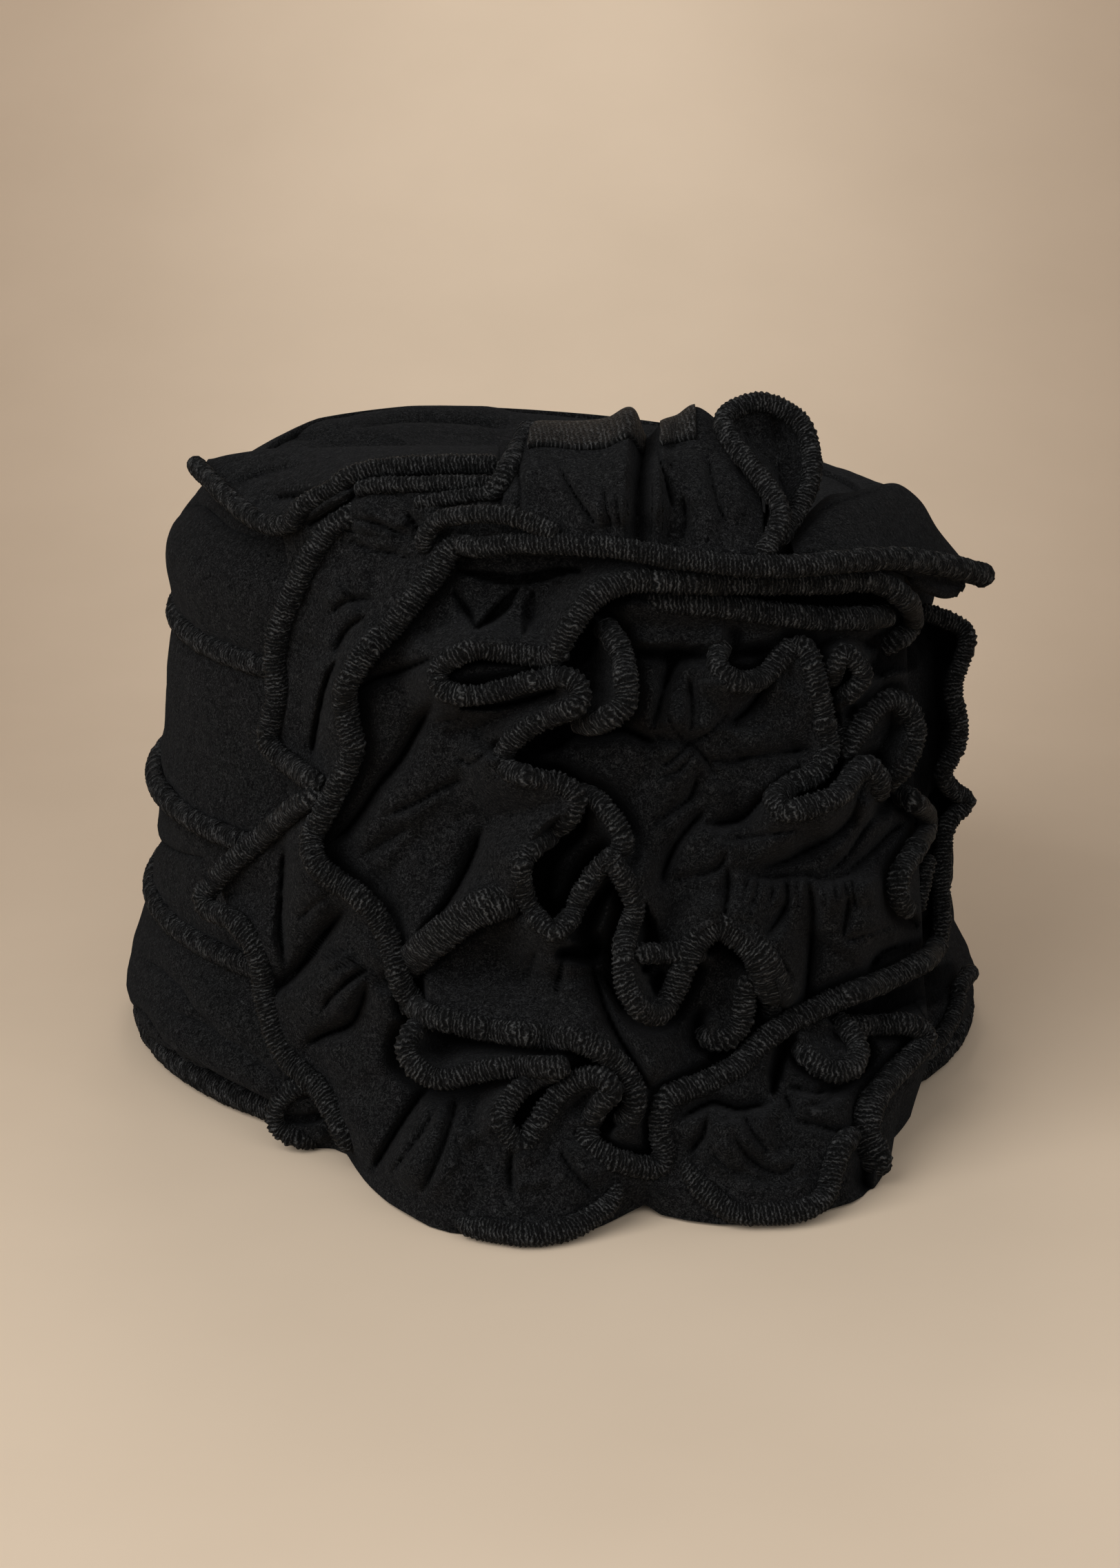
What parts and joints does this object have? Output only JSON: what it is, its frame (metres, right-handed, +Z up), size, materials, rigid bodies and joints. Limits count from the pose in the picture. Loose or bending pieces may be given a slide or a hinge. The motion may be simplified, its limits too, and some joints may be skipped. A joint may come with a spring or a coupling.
{
  "type": "ruffled fabric hat",
  "caption": "Soft cloth hat: a stacked drum of tiers with seam rolls, a sunk top, and a mass of overlocked ruffles gathered over its front down to the floor.",
  "frame": {"origin": "middle of the head opening, on the surface that the hem rests on", "axes": "+Z up through the crown, -Y to the front where the ruffles are, +X to the wearer's left, the right of the view from the front"},
  "size_m": [0.2052, 0.2443, 0.1654],
  "materials": {
    "fleece": "matte black brushed knit",
    "yarn": "matte black overlock thread"
  },
  "bodies": {
    "root": {"crown_top": "fleece", "drum_tier_1": "fleece", "drum_tier_2": "fleece", "drum_tier_3": "fleece", "drum_tier_4": "fleece", "edge_front_bend": "yarn", "edge_front_drop": "yarn", "edge_front_loop": "yarn", "edge_left_inner": "yarn", "edge_left_lobe": "yarn", "edge_left_lower": "yarn", "edge_left_outer": "yarn", "edge_left_ruffle": "yarn", "edge_long_sweep": "yarn", "edge_long_top": "yarn", "edge_loop_ruffle": "yarn", "edge_low_band": "yarn", "edge_low_curl": "yarn", "edge_low_left": "yarn", "edge_low_loop": "yarn", "edge_low_right": "yarn", "edge_right_curl": "yarn", "edge_right_drop": "yarn", "edge_right_hook": "yarn", "edge_right_knot": "yarn", "edge_right_lobe": "yarn", "edge_right_loop": "yarn", "edge_short_drop": "yarn", "edge_side_band": "yarn", "edge_side_ruffle": "yarn", "edge_small_curl": "yarn", "edge_top_ruffle": "yarn", "edge_upper_flap": "yarn", "edge_upper_hook": "yarn", "front_cover": "fleece", "hem_roll": "yarn", "left_ruffle": "fleece", "loop_ruffle": "fleece", "side_ruffle": "fleece", "top_ruffle": "fleece", "welt_1": "yarn", "welt_2": "yarn", "welt_3": "yarn", "wing_ruffle": "fleece"}
  },
  "joints": []
}
